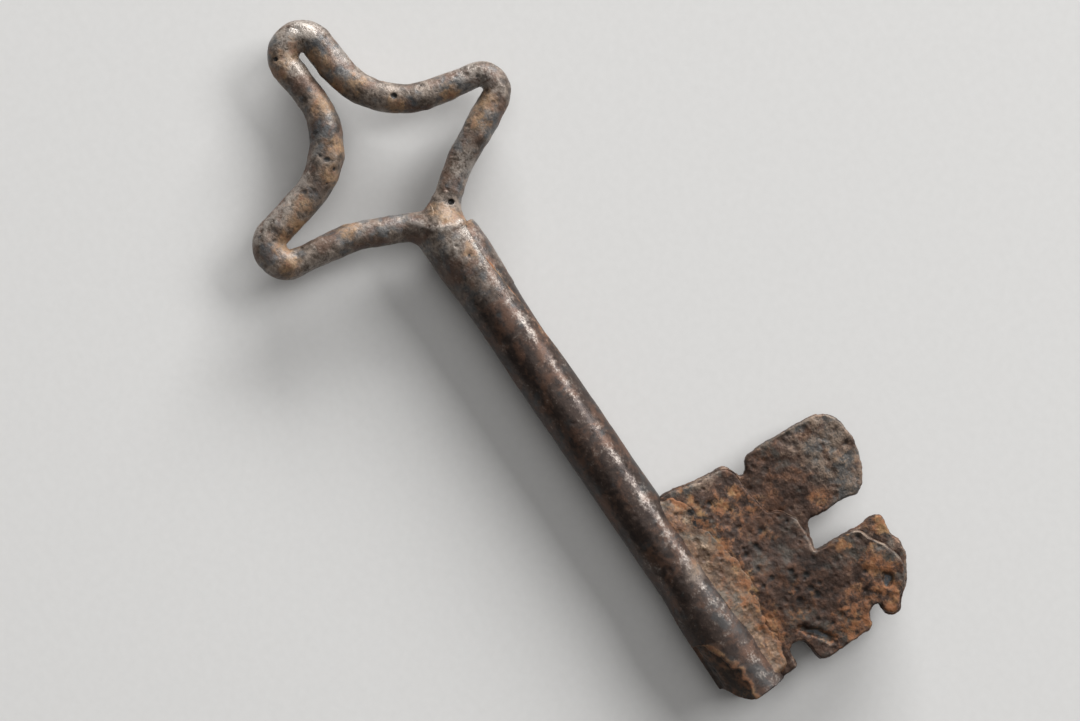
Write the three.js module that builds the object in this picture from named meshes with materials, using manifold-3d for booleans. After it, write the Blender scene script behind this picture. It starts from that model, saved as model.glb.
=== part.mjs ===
// Forged iron key: a hollow stem rolled from sheet, a star bow bent from round bar, and a warded bit
// of two leaves. Millimetres. The key lies flat: +X runs down the stem to its open mouth, +Y to the bit,
// and +Z out of the shown face. The stem's axis is y = 0, z = 0, and the stem's top end is x = 0.
import * as THREE from "three";
import { mergeVertices } from "three/addons/utils/BufferGeometryUtils.js";
import Module from "manifold-3d";

const wasm = await Module();
wasm.setup();

// Stem: length, plain radius, and how far it swells at its top and towards its mouth
const stemLength = 103.6;
const stemRadius = 5.25;
const topSwell = 0.65;
const topSwellLength = 17;
const mouthSwell = 0.55;
const mouthSwellStart = 27;
const mouthSwellLength = 12;
const sheetThickness = 1.3;

// Lap of the rolled sheet: the tucked edge, the thinned edges, and the seam's turn down the stem, in degrees
const lapAngle = 34;
const lapGap = 0.15;
const scarfThickness = 0.6;
const scarfAngle = 50;
const tuckAngle = 32;
const seamAngleTop = 38;
const seamAngleBelow = 68;
const seamTurnLength = 30;
const beadStart = 2;
const beadEnd = 61;
const beadWidth = 0.75;
const beadCrown = 0.05;

// Dent in the stem above the mouth, back from the mouth, and its angle round the stem
const dentDepth = 0.7;
const dentBack = 25.6;
const dentAngle = -62;
const dentLength = 3.4;
const dentSpread = 30;

// Break by the mouth: the outer skin is gone in front, and the rim is worn back on the side opposite the bit
const skinDepth = 0.7;
const breakFloor = 0.8;
const rimWear = 5.2;

// Bow: shoulder and tang at its foot, and the gap round the weld of the bar's free end
const shoulderStep = 0.35;
const shoulderLength = 5.4;
const tangLength = 16;
const tangClearance = 0.3;
const tangChamfer = 1;
const footLength = 4;
const footRadius = 3.1;
const footGap = 0.3;

// Pins that the bow's bar is bent round: x, y, radius of the bar's middle line round the pin,
// the way that it turns there (1 is anticlockwise, 0 is an end of the bar), and the bar's own radius.
const bowPins = [
  [-2.7, 1.0, 0, 0, 2.6],
  [12.5, -21.3, 23.4, 1, 2.65],
  [-15.7, -25.9, 3.6, -1, 3.25],
  [-35.6, -21.7, 14.9, 1, 3.2],
  [-43.7, -3.7, 3.7, -1, 2.95],
  [-40.1, 16.6, 16.5, 1, 2.9],
  [-19.4, 20.2, 3.1, -1, 2.6],
  [11.8, 23.0, 26.0, 1, 2.85],
  [-6.6, 4.3, 0, 0, 2.65],
];

// Bit: the leaves meet on one plane, a little to the front of the stem's axis
const leafPlane = 0.3;
const backLeafThickness = 2.5;
const frontLeafThickness = 1.9;
const bitWidth = 41;
const bitReach = 41.7;
const bitRoot = 2;
const rootGap = 0.3;

// Ward cuts: back is measured from the mouth towards the bow, out from the stem's axis
const slotBack = 16.6;
const slotWidth = 5.9;
const slotFloor = 24;
const slotNarrowing = 1.5;
const slotLean = 0.8;
const topNotch = { back: 37.1, out: 20.8, radius: 1.4, flare: 1 };
const outerNotch = { back: 0.1, out: 26.8, radius: 2, flare: 0.2 };
const innerNotch = { back: 2.1, out: 10.7, radius: 2, flare: 0.4 };

// Corroded hollows in the front leaf: place and half lengths as shares of the bit's width and reach,
// slant in degrees, and depth below the leaf's face
const hollows = [
  { back: 0.107, out: 0.763, long: 0.0415, short: 0.023, angle: -34, depth: 2.1 },
  { back: 0.085, out: 0.362, long: 0.088, short: 0.023, angle: 36, depth: 0.9 },
];

// Fillets of filler metal along the bit's root, and how many degrees of the stem they cover
const filletGap = 0.25;
const filletStart = 40;
const filletEnd = 1.2;
const filletReach = 4.1;
const filletWrapAngle = 14;
const filletRidge = 1.3;
const filletRipple = 0.9;
const ripplePitch = 10.2;

// Fineness of the round forms
const stemStations = 36;
const sheetSteps = 44;
const barSides = 16;
const barStep = 10;
const turnedSides = 32;
const filletStations = 24;
const filletSteps = 6;
const beadStations = 24;

const radian = Math.PI / 180;

function iron(color, roughness, metalness) {
  return new THREE.MeshStandardMaterial({ color, roughness, metalness });
}

// A closed mesh as a solid that can be cut and joined.
function solidOf(geometry) {
  const bare = geometry.index ? geometry.toNonIndexed() : geometry.clone();
  bare.deleteAttribute("normal");
  bare.deleteAttribute("uv");
  const merged = mergeVertices(bare, 1e-4);
  const triVerts = new Uint32Array(merged.index.array);
  const vertProperties = new Float32Array(merged.attributes.position.array);
  return new wasm.Manifold(new wasm.Mesh({ numProp: 3, vertProperties, triVerts }));
}

function meshOf(solid, name, material) {
  const made = solid.getMesh();
  const geometry = new THREE.BufferGeometry();
  geometry.setAttribute("position", new THREE.BufferAttribute(made.vertProperties, 3));
  geometry.setIndex(new THREE.BufferAttribute(made.triVerts, 1));
  geometry.computeVertexNormals();
  const mesh = new THREE.Mesh(geometry, material);
  mesh.name = name;
  return mesh;
}

function flipped(geometry) {
  const turned = geometry.clone();
  const order = turned.index.array;
  for (let i = 0; i < order.length; i += 3) {
    [order[i + 1], order[i + 2]] = [order[i + 2], order[i + 1]];
  }
  return turned;
}

function facingOut(geometry) {
  const made = solidOf(geometry);
  return made.volume() < 0 ? solidOf(flipped(geometry)) : made;
}

// A closed solid through rings of equal count, with the given triangles on both end rings.
function loft(rings, capFaces) {
  const count = rings[0].length;
  const index = [];
  for (let s = 0; s + 1 < rings.length; s++) {
    for (let j = 0; j < count; j++) {
      const a = s * count + j;
      const b = s * count + ((j + 1) % count);
      index.push(a, b, a + count, b, b + count, a + count);
    }
  }
  const last = (rings.length - 1) * count;
  for (const face of capFaces) {
    const [i, j, k] = [...face].sort((p, q) => p - q);
    index.push(i, k, j, last + i, last + j, last + k);
  }
  const geometry = new THREE.BufferGeometry().setFromPoints(rings.flat());
  geometry.setIndex(index);
  return facingOut(geometry);
}

// Triangles that close a ring round its own outline.
function fanCap(count) {
  const faces = [];
  for (let j = 1; j + 1 < count; j++) {
    faces.push([0, j, j + 1]);
  }
  return faces;
}

// A flat shape pushed along Z.
function plate(shape, low, high) {
  const push = { depth: high - low, bevelEnabled: false, curveSegments: 6 };
  const geometry = new THREE.ExtrudeGeometry(shape, push);
  geometry.translate(0, 0, low);
  return solidOf(geometry);
}

// A solid turned about the X axis from points of radius and x that start and end on the axis.
function turned(profile) {
  const geometry = new THREE.LatheGeometry(profile, turnedSides);
  geometry.rotateZ(-Math.PI / 2);
  return facingOut(geometry);
}

// 0 below 0, 1 above 1, and an S-shaped rise between.
function smooth(value) {
  return THREE.MathUtils.smoothstep(value, 0, 1);
}

// The stem's outer radius at x.
function radiusAt(x) {
  const top = topSwell * (1 - smooth(x / topSwellLength));
  const mouth = mouthSwell * smooth((x - stemLength + mouthSwellStart) / mouthSwellLength);
  return stemRadius + top + mouth;
}

// How far the sheet is dented inwards at x and an angle round the stem.
function dentAt(x, degrees) {
  const along = (x - stemLength + dentBack) / dentLength;
  const round = THREE.MathUtils.euclideanModulo(degrees - dentAngle + 180, 360) - 180;
  return dentDepth * Math.exp(-along * along - (round / dentSpread) ** 2);
}

// The angle of the sheet's outer edge at x.
function seamAngleAt(x) {
  return THREE.MathUtils.lerp(seamAngleTop, seamAngleBelow, smooth(x / seamTurnLength));
}

// A point of the section at x: angle 0 is the front (+Z) and 90 the bit's side (+Y).
function around(x, radius, degrees) {
  return new THREE.Vector3(x, radius * Math.sin(degrees * radian), radius * Math.cos(degrees * radian));
}

// The sheet's thickness at an angle along it, thinned towards both edges.
function sheetAt(along) {
  const fromEdge = Math.min(along, 360 + lapAngle - along);
  return THREE.MathUtils.lerp(scarfThickness, sheetThickness, smooth(fromEdge / scarfAngle));
}

// How far the sheet's outer face lies below the stem's round: the tucked edge passes under the other one.
function tuckAt(along) {
  const under = sheetAt(Math.min(along, lapAngle) + 360) + lapGap;
  return under * (1 - smooth((along - lapAngle) / tuckAngle));
}

// The rolled sheet: its section winds from the tucked inner edge once round and over itself.
function rolledSheet() {
  const rings = [];
  for (let s = 0; s <= stemStations; s++) {
    const x = (stemLength * s) / stemStations;
    const start = seamAngleAt(x) - lapAngle;
    const outer = [];
    const inner = [];
    for (let j = 0; j <= sheetSteps; j++) {
      const along = ((360 + lapAngle) * j) / sheetSteps;
      const radius = radiusAt(x) - tuckAt(along) - dentAt(x, start + along);
      outer.push(around(x, radius, start + along));
      inner.push(around(x, radius - sheetAt(along), start + along));
    }
    rings.push([...outer, ...inner.reverse()]);
  }
  const caps = [];
  const count = 2 * (sheetSteps + 1);
  for (let j = 0; j < sheetSteps; j++) {
    caps.push([j, j + 1, count - 1 - j], [j + 1, count - 2 - j, count - 1 - j]);
  }
  return loft(rings, caps);
}

// A shape through points given as a distance back from the mouth and a distance out from the axis.
function outlineFromMouth(rows) {
  return new THREE.Shape(rows.map(([back, out]) => new THREE.Vector2(stemLength - back, out)));
}

// The lost skin in front: a jagged window whose cut stops at skin depth.
function brokenSkin() {
  const outside = -2 * stemRadius;
  const window = outlineFromMouth([
    [14.0, outside],
    [13.6, -3.1],
    [10.6, -2.4],
    [8.9, -1.0],
    [6.2, -0.4],
    [3.4, -1.4],
    [1.2, -1.1],
    [-1.0, -1.4],
    [-1.0, outside],
  ]);
  const core = radiusAt(stemLength) - skinDepth;
  const left = turned([
    new THREE.Vector2(0, 0),
    new THREE.Vector2(core, 0),
    new THREE.Vector2(core, stemLength + 2),
    new THREE.Vector2(0, stemLength + 2),
  ]);
  return plate(window, breakFloor, 2 * stemRadius).subtract(left);
}

// The rim worn back on the side away from the bit, through the whole wall.
function wornRim() {
  const outside = -2 * stemRadius;
  const corner = outlineFromMouth([
    [-1.0, -1.4],
    [0.3, -2.3],
    [1.7, -3.9],
    [rimWear, -6.0],
    [rimWear + 2, outside],
    [-1.0, outside],
  ]);
  return plate(corner, -2 * stemRadius, 2 * stemRadius);
}

// The bar's headings on its straight stretches, each tangent to the pins at both its ends.
function straightHeadings() {
  const headings = [];
  for (let i = 0; i + 1 < bowPins.length; i++) {
    const [x, y, bend, turn] = bowPins[i];
    const [nextX, nextY, nextBend, nextTurn] = bowPins[i + 1];
    const apart = Math.hypot(nextX - x, nextY - y);
    const across = Math.asin((nextTurn * nextBend - turn * bend) / apart);
    headings.push(Math.atan2(nextY - y, nextX - x) - across);
  }
  return headings;
}

// Stations along the bar's middle line: an arc round each pin, with a straight stretch to the next.
function barStations() {
  const headings = straightHeadings();
  const stations = [];
  bowPins.forEach(([x, y, bend, turn, bar], i) => {
    const from = headings[Math.max(i - 1, 0)];
    const to = headings[Math.min(i, headings.length - 1)];
    const swept = THREE.MathUtils.euclideanModulo(turn * (to - from), 2 * Math.PI);
    const steps = Math.ceil(swept / (barStep * radian));
    for (let s = 0; s <= steps; s++) {
      const heading = from + (turn * swept * s) / Math.max(steps, 1);
      const aside = new THREE.Vector3(Math.sin(heading), -Math.cos(heading), 0);
      const place = new THREE.Vector3(x, y, 0).addScaledVector(aside, turn * bend);
      stations.push({ place, heading, bar });
    }
  });
  return stations;
}

// A round bar through stations of place, heading and radius.
function barThrough(stations) {
  const rings = stations.map(({ place, heading, bar }) => {
    const across = new THREE.Vector3(-Math.sin(heading), Math.cos(heading), 0);
    const ring = [];
    for (let j = 0; j < barSides; j++) {
      const angle = (2 * Math.PI * j) / barSides;
      const point = place.clone().addScaledVector(across, bar * Math.cos(angle));
      ring.push(point.setZ(bar * Math.sin(angle)));
    }
    return ring;
  });
  return loft(rings, fanCap(barSides));
}

// The weld at the bar's free end: a collar that starts on the bar's end face and widens into the shoulder.
function footStations(gap) {
  const end = barStations().at(-1);
  const ahead = new THREE.Vector3(Math.cos(end.heading), Math.sin(end.heading), 0);
  const far = end.place.clone().addScaledVector(ahead, footLength + gap);
  return [
    { ...end, bar: end.bar + gap },
    { ...end, place: far, bar: footRadius + gap },
  ];
}

// The shoulder that the bow stands on, with the tang that goes down the stem's bore.
function shoulderAndTang() {
  const rim = radiusAt(0) - shoulderStep;
  const tangRadius = stemRadius - sheetThickness - scarfThickness - tangClearance;
  const dome = new THREE.QuadraticBezierCurve(
    new THREE.Vector2(0, -shoulderLength),
    new THREE.Vector2(rim * 0.9, -shoulderLength * 0.83),
    new THREE.Vector2(rim, 0),
  );
  return turned([
    ...dome.getPoints(10),
    new THREE.Vector2(tangRadius, 0),
    new THREE.Vector2(tangRadius, tangLength - tangChamfer),
    new THREE.Vector2(tangRadius - tangChamfer, tangLength),
    new THREE.Vector2(0, tangLength),
  ]);
}

function pointFromMouth(back, out) {
  return new THREE.Vector2(stemLength - back, out);
}

// A point of the bit by shares of its width, back from the mouth, and of its reach, out from the axis.
function bitPoint(back, out) {
  return pointFromMouth(back * bitWidth, out * bitReach);
}

// A closed bit outline from its root through straight sides (pairs) and worn curves (lists of pairs).
function bitShape(rootNear, rootFar, stretches) {
  const shape = new THREE.Shape();
  shape.moveTo(stemLength - rootNear * bitWidth, bitRoot);
  for (const stretch of stretches) {
    if (Array.isArray(stretch[0])) {
      shape.splineThru(stretch.map(([back, out]) => bitPoint(back, out)));
    } else {
      const corner = bitPoint(...stretch);
      shape.lineTo(corner.x, corner.y);
    }
  }
  shape.lineTo(stemLength - rootFar * bitWidth, bitRoot);
  return shape;
}

// Outline of the back leaf: straight sides, and two worn lobes at the outer edge.
function backLeafShape() {
  return bitShape(1, 0.01, [
    [1, 0.175],
    [0.951, 0.444],
    [0.927, 0.842],
    [[0.898, 0.945], [0.837, 0.988], [0.756, 1], [0.673, 0.988], [0.578, 0.957]],
    [0.488, 0.894],
    [0.385, 0.885],
    [[0.312, 0.894], [0.215, 0.911], [0.132, 0.894], [0.024, 0.827], [-0.049, 0.746]],
    [-0.054, 0.458],
    [-0.046, 0.326],
    [0, 0.213],
  ]);
}

// Outline of the front leaf: its upper lobe ends on a ridge level with the slot's floor.
function frontLeafShape() {
  const slotSide = (slotBack + slotWidth) / bitWidth;
  const slotMiddle = (slotBack + slotWidth / 2) / bitWidth;
  const floor = slotFloor / bitReach;
  return bitShape(0.995, 0.005, [
    [0.995, 0.177],
    [0.944, 0.441],
    [[0.895, 0.477], [0.815, 0.468], [0.724, 0.472], [0.659, 0.484], [slotSide + 0.012, floor]],
    [slotMiddle, floor + 0.024],
    [slotMiddle, 0.791],
    [0.28, 0.818],
    [[0.21, 0.854], [0.132, 0.871], [0.034, 0.813], [-0.034, 0.741]],
    [-0.049, 0.59],
    [-0.049, 0.458],
    [-0.041, 0.326],
    [0.005, 0.206],
  ]);
}

// A round-ended cut from its centre past the bit's edge, towards the mouth (side 1) or the bow (side -1).
function notchCutter({ back, out, radius, flare }, side) {
  const centre = pointFromMouth(back, out);
  const past = centre.x + side * 4 * radius;
  const shape = new THREE.Shape();
  const turn = Math.PI / 2;
  shape.moveTo(centre.x, out + side * radius);
  shape.absarc(centre.x, out, radius, side * turn, side * turn + Math.PI, false);
  shape.lineTo(past, out - side * (radius + flare * 2));
  shape.lineTo(past, out + side * (radius + flare * 2));
  return plate(shape, -stemRadius, stemRadius);
}

// The slot between the bit's lobes, which narrows outwards and leans towards the mouth.
function slotCutter() {
  const past = bitReach + slotWidth;
  const shape = outlineFromMouth([
    [slotBack + slotWidth, slotFloor],
    [slotBack, slotFloor],
    [slotBack - slotLean, past],
    [slotBack - slotLean + slotWidth - slotNarrowing, past],
  ]);
  return plate(shape, -stemRadius, stemRadius);
}

// An oval hollow sunk from above the front leaf's face.
function hollowCutter({ back, out, long, short, angle, depth }) {
  const centre = bitPoint(back, out);
  const halfLong = long * bitWidth;
  const halfShort = short * bitWidth;
  const shape = new THREE.Shape();
  shape.absellipse(centre.x, centre.y, halfLong, halfShort, 0, 2 * Math.PI, false, angle * radian);
  return plate(shape, leafPlane + frontLeafThickness - depth, stemRadius);
}

// What the leaves keep clear of: the stem's round wall, larger by the gap.
function stemRoom(gap) {
  const profile = [new THREE.Vector2(0, -gap)];
  for (let s = 0; s <= stemStations; s++) {
    const x = ((stemLength + 2 * stemRadius) * s) / stemStations;
    profile.push(new THREE.Vector2(radiusAt(x) + gap, x));
  }
  profile.push(new THREE.Vector2(0, profile.at(-1).y));
  return turned(profile);
}

// Filler metal between the stem's wall and one face of the bit, as a hollow-cheeked wedge along the root.
function rootFillet(face, side, ripple) {
  const rings = [];
  for (let s = 0; s <= filletStations; s++) {
    const t = s / filletStations;
    const x = stemLength - THREE.MathUtils.lerp(filletStart, filletEnd, t);
    const ends = 0.4 + 0.6 * smooth(8 * t) * smooth(8 * (1 - t));
    const wave = Math.cos((2 * Math.PI * (x - stemLength + filletStart)) / ripplePitch);
    const reach = ends * (filletReach + ripple * wave);
    const radius = radiusAt(x) + filletGap;
    const floor = face + filletGap;
    const foot = 90 - Math.asin(floor / radius) / radian;
    const ring = [];
    for (let j = 0; j <= filletSteps; j++) {
      ring.push(around(x, radius, foot - (ends * filletWrapAngle * j) / filletSteps));
    }
    const tip = around(x, radius * 1.02, foot - ends * filletWrapAngle);
    const cheek = new THREE.Vector3(x, tip.y + reach / 3, tip.z + ends * filletRidge / 3);
    const far = new THREE.Vector3(x, ring[0].y + reach, floor);
    ring.push(...new THREE.QuadraticBezierCurve3(tip, cheek, far).getPoints(filletSteps));
    rings.push(ring.map((p) => new THREE.Vector3(p.x, p.y, side * p.z)));
  }
  const section = rings[0].map((p) => new THREE.Vector2(p.y, p.z));
  return loft(rings, THREE.ShapeUtils.triangulateShape(section, []));
}

// The bead of filler in the step beside the sheet's outer edge.
function seamBead() {
  const rings = [];
  for (let s = 0; s <= beadStations; s++) {
    const x = THREE.MathUtils.lerp(beadStart, beadEnd, s / beadStations);
    const radius = radiusAt(x);
    const near = lapGap / radius / radian;
    const width = beadWidth / radius / radian;
    const edge = seamAngleAt(x);
    const floorAt = (beyond) => around(x, radius - tuckAt(lapAngle + beyond) + lapGap, edge + beyond);
    const crown = radius - beadCrown;
    rings.push([
      floorAt(near),
      around(x, crown, edge + near),
      around(x, crown - beadCrown, edge + near + width / 2),
      floorAt(near + width),
    ]);
  }
  return loft(rings, fanCap(4));
}

const darkIron = iron(0x6d625a, 0.62, 0.75);
const brownIron = iron(0x74604f, 0.75, 0.55);
const rustyFiller = iron(0x8a6a48, 0.85, 0.35);

const wardCuts = slotCutter()
  .add(notchCutter(topNotch, -1))
  .add(notchCutter(outerNotch, 1))
  .add(notchCutter(innerNotch, 1));
const leafCuts = wardCuts.add(stemRoom(rootGap));
const frontFace = leafPlane + frontLeafThickness;
const backFace = leafPlane - backLeafThickness;

const bow = barThrough(barStations()).add(shoulderAndTang()).subtract(barThrough(footStations(footGap)));
const tube = rolledSheet().subtract(brokenSkin()).subtract(wornRim());
const backLeaf = plate(backLeafShape(), backFace, leafPlane).subtract(leafCuts);
const wholeFrontLeaf = plate(frontLeafShape(), leafPlane, frontFace).subtract(leafCuts);
const frontLeaf = hollows.reduce((leaf, hollow) => leaf.subtract(hollowCutter(hollow)), wholeFrontLeaf);

const key = new THREE.Group();
key.add(meshOf(bow, "bow_rod", darkIron.clone()));
key.add(meshOf(barThrough(footStations(0)), "bow_foot_weld", brownIron.clone()));
key.add(meshOf(tube, "stem_tube", darkIron.clone()));
key.add(meshOf(seamBead(), "seam_braze", rustyFiller.clone()));
key.add(meshOf(backLeaf, "bit_back_leaf", brownIron.clone()));
key.add(meshOf(frontLeaf, "bit_front_leaf", brownIron.clone()));
key.add(meshOf(rootFillet(frontFace, 1, filletRipple), "bit_front_fillet", rustyFiller.clone()));
key.add(meshOf(rootFillet(-backFace, -1, 0), "bit_back_fillet", rustyFiller.clone()));

// The part's origin: the middle of the key's outline, at the height that the key lies on
const whole = new THREE.Box3().setFromObject(key);
const middle = whole.getCenter(new THREE.Vector3());
key.position.set(-middle.x, -middle.y, -whole.min.z);
const part = new THREE.Group();
part.add(key);
export default part;
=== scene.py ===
"""Old forged iron key: a star bow of bent bar, a stem rolled from sheet, and a warded bit of two leaves.

Shapes are worked out in millimetres in the key's own axes: x runs down the stem from its top end to its
mouth, y from the stem's middle line to the bit's outer edge, and z towards the shown face.
"""
from itertools import product

import bpy
import numpy as np
from mathutils import Matrix, Vector


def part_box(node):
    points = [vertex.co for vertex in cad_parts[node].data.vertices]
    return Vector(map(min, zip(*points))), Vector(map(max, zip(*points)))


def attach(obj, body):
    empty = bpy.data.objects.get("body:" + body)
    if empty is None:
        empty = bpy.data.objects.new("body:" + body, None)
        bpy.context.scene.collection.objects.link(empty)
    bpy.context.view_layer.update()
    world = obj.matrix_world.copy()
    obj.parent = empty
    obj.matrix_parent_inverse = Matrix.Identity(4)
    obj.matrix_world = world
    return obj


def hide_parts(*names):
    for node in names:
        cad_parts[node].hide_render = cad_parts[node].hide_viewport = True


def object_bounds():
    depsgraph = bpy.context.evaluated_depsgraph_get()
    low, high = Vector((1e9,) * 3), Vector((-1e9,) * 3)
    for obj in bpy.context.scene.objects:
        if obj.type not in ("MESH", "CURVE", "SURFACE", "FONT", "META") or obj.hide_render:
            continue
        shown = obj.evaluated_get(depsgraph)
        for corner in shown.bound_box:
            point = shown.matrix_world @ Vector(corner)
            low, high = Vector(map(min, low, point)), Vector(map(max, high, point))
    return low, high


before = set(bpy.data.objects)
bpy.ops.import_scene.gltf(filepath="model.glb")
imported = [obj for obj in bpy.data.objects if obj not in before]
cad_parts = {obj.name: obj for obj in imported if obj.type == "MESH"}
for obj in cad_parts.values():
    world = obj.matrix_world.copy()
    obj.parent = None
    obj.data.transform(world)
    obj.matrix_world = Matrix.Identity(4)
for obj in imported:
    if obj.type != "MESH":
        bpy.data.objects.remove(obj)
cad_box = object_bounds()
box_low, box_high = (np.array(corner) for corner in cad_box)
stem_low, stem_high = (np.array(corner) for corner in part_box("stem_tube"))
stem_top = np.array([stem_low[0], (stem_low[1] + stem_high[1]) / 2, (stem_low[2] + stem_high[2]) / 2])

STEM_LENGTH = 103.6
STEM_RADIUS = 5.25
TOP_SWELL = 0.62
MOUTH_SWELL = 0.53
TOP_RADIUS = 5.72
SHEET = 1.3
DOME_LENGTH = 5.2
DOME_POWER = 2.3
LEAF_PLANE = 0.3
BACK_FACE = -2.2
FRONT_FACE = 2.2

# Pins that the bar is bent round: x, y, radius of the bar's middle line, and the way that it turns
BOW_PINS = (
    (-2.7, 1.0, 0.0, 0),
    (12.5, -21.3, 23.4, 1),
    (-15.7, -25.9, 3.6, -1),
    (-35.6, -21.7, 14.9, 1),
    (-43.7, -3.7, 3.7, -1),
    (-40.1, 16.6, 16.5, 1),
    (-19.4, 20.2, 3.1, -1),
    (11.8, 23.0, 26.0, 1),
    (-6.6, 4.3, 0.0, 0),
)

# The bar's radius by the way along it
BAR_THICKNESS = (
    (0, 2.6), (12, 2.75), (16, 2.58), (21, 2.78), (28, 2.55), (31, 3.0), (35, 3.3), (38.5, 3.15), (44, 3.02),
    (50, 3.1), (56.5, 3.32), (62, 3.14), (67, 2.78), (74, 2.82), (79, 3.05), (84, 2.92), (91.5, 3.18),
    (98, 3.0), (104.5, 2.7), (113, 2.72), (118, 2.45), (121.5, 2.3), (125.7, 2.62), (129, 2.8), (133, 2.95),
    (138, 2.75), (142, 2.62), (149, 2.65),
)

# Degrees from the front towards the bit at which the sheet's outer edge lies, by the way down the stem
SEAM_TURNS = (
    (0, 42), (4.4, 33), (10, 41), (13, 45), (17, 55), (22, 62), (26, 70), (35, 79), (60, 84), (104, 86),
)

# How high the sheet's outer edge stands over the tucked part, by the way down the stem
SEAM_STEP = ((0, 0.92), (4, 0.95), (12, 0.72), (40, 0.6), (55, 0.36), (64, 0.18), (104, 0.12))


def rise(value):
    """0 below 0, 1 above 1, and between them three times the square less twice the cube."""
    part = np.clip(value, 0.0, 1.0)
    return part * part * (3.0 - 2.0 * part)


def bell(value, middle, spread):
    """1 at the middle, falling on both sides as the exponential of minus the square."""
    return np.exp(-(((value - middle) / spread) ** 2))


def through(value, rows):
    """The straight-line value between rows of place and height."""
    places, heights = np.array(rows, float).T
    return np.interp(value, places, heights)


def chance(cell, seed):
    """A fixed random number from 0 to 1 for each cell: the fraction of a large sine of its three numbers."""
    wave = np.sin(cell @ np.array([12.9898, 78.233, 37.719]) + 4.113 * seed) * 43758.5453
    return wave - np.floor(wave)


TWIST = np.array([[0.36, 0.48, -0.8], [-0.8, 0.6, 0.0], [0.48, 0.64, 0.6]])


def cloud(points, size, octaves, seed):
    """Lumpy noise round 0: chances at the corners of a lattice, joined by S-curves, and summed over octaves,
    each turned and of half the size and height."""
    place = points / size
    total = np.zeros(len(points))
    for octave in range(octaves):
        cell = np.floor(place)
        blend = rise(place - cell)
        for corner in product((0, 1), repeat=3):
            weight = np.prod(np.where(corner, blend, 1.0 - blend), axis=1)
            total += weight * (2.0 * chance(cell + corner, seed + 7 * octave) - 1.0) / 2**octave
        place = 2.0 * place @ TWIST.T + 3.7
    return total


def ripple(x, size, octaves, seed):
    """Lumpy noise that changes only down the stem."""
    return cloud(np.stack([x, 0.0 * x, 0.0 * x], axis=1), size, octaves, seed)


def pits(points, size, share, seed):
    """Bowls strewn one to a lattice cell: 1 at a bowl's bottom and 0 outside, falling with the square of the
    way out. A bowl's place, its width and whether it is there are chances of its cell."""
    place = points / size
    home = np.floor(place)
    deep = np.zeros(len(points))
    for shift in product((-1, 0, 1), repeat=3):
        cell = home + shift
        middle = cell + np.stack([chance(cell, seed + number) for number in (1, 2, 3)], axis=1)
        wide = 0.25 + 0.4 * chance(cell, seed + 4) ** 2
        out = np.linalg.norm(place - middle, axis=1) / wide
        deep = np.maximum(deep, (chance(cell, seed + 5) < share) * np.clip(1.0 - out * out, 0.0, 1.0))
    return deep


def flecked(points, strength, seed):
    """A mark broken into flecks: its strength with lumpy noise added and what falls below 0 left out."""
    return np.clip(strength * (1.15 + 0.9 * cloud(points, 1.1, 3, seed)) - 0.15, 0.0, 1.0)


def from_side(x, y, start, end):
    """Distance in the plan from places to a straight side: to the point of it that lies square across from a
    place, or else to its nearer end."""
    run_x = end[0] - start[0]
    run_y = end[1] - start[1]
    share = np.clip(((x - start[0]) * run_x + (y - start[1]) * run_y) / (run_x**2 + run_y**2), 0.0, 1.0)
    return np.hypot(x - start[0] - share * run_x, y - start[1] - share * run_y)


def near(points, places, size):
    """1 at each listed x, y of the shown face, with a bell-shaped fall round it."""
    most = np.zeros(len(points))
    for x, y in places:
        away = (points[:, 0] - x) ** 2 + (points[:, 1] - y) ** 2
        most = np.maximum(most, np.exp(-away / size**2))
    return most * rise(points[:, 2] + 0.5)


def near_line(points, corners, size):
    """1 on a line through corners on the shown face, with a bell-shaped fall beside it."""
    least = np.full(len(points), 1e9)
    for start, end in zip(corners, corners[1:]):
        least = np.minimum(least, from_side(points[:, 0], points[:, 1], start, end))
    return np.exp(-((least / size) ** 2)) * rise(points[:, 2] + 0.5)


def join(first, second, width):
    """Smooth least of two distances: the lesser, less a quarter of the width times the squared closeness."""
    close = np.clip(1.0 - np.abs(first - second) / width, 0.0, 1.0)
    return np.minimum(first, second) - 0.25 * width * close * close


def smoothed(values, reach):
    """Values averaged along a row with bell-shaped weights that reach so many steps."""
    steps = np.arange(-3 * reach, 3 * reach + 1)
    weights = np.exp(-((steps / reach) ** 2))
    padded = np.pad(values, 3 * reach, mode="edge")
    return np.convolve(padded, weights / weights.sum(), mode="valid")


def bar_line(step):
    """Middle line of the bow's bar at an even step: arcs round the pins, joined by the straight lines that
    touch both circles. Gives the way along, the x and y of each place, and the unit direction there."""
    headings = []
    for (x, y, bend, turn), (next_x, next_y, next_bend, next_turn) in zip(BOW_PINS, BOW_PINS[1:]):
        apart = np.hypot(next_x - x, next_y - y)
        across = np.arcsin((next_turn * next_bend - turn * bend) / apart)
        headings.append(np.arctan2(next_y - y, next_x - x) - across)
    arcs = []
    for i, (x, y, bend, turn) in enumerate(BOW_PINS):
        start = headings[max(i - 1, 0)]
        end = headings[min(i, len(headings) - 1)]
        swept = (turn * (end - start)) % (2.0 * np.pi)
        heading = start + turn * swept * np.linspace(0.0, 1.0, 200 if bend else 1)
        arcs.append(np.stack([x + turn * bend * np.sin(heading), y - turn * bend * np.cos(heading)], axis=1))
    corners = np.concatenate(arcs)
    lengths = np.concatenate([[0.0], np.cumsum(np.linalg.norm(np.diff(corners, axis=0), axis=1))])
    along = np.arange(0.0, lengths[-1], step)
    line = np.stack([np.interp(along, lengths, corners[:, axis]) for axis in (0, 1)], axis=1)
    ahead = np.gradient(line, axis=0)
    return along, line, ahead / np.linalg.norm(ahead, axis=1)[:, None]


def bar_radius(along):
    """The bar's radius: the listed thickness by the way along."""
    return through(along, BAR_THICKNESS)


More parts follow.
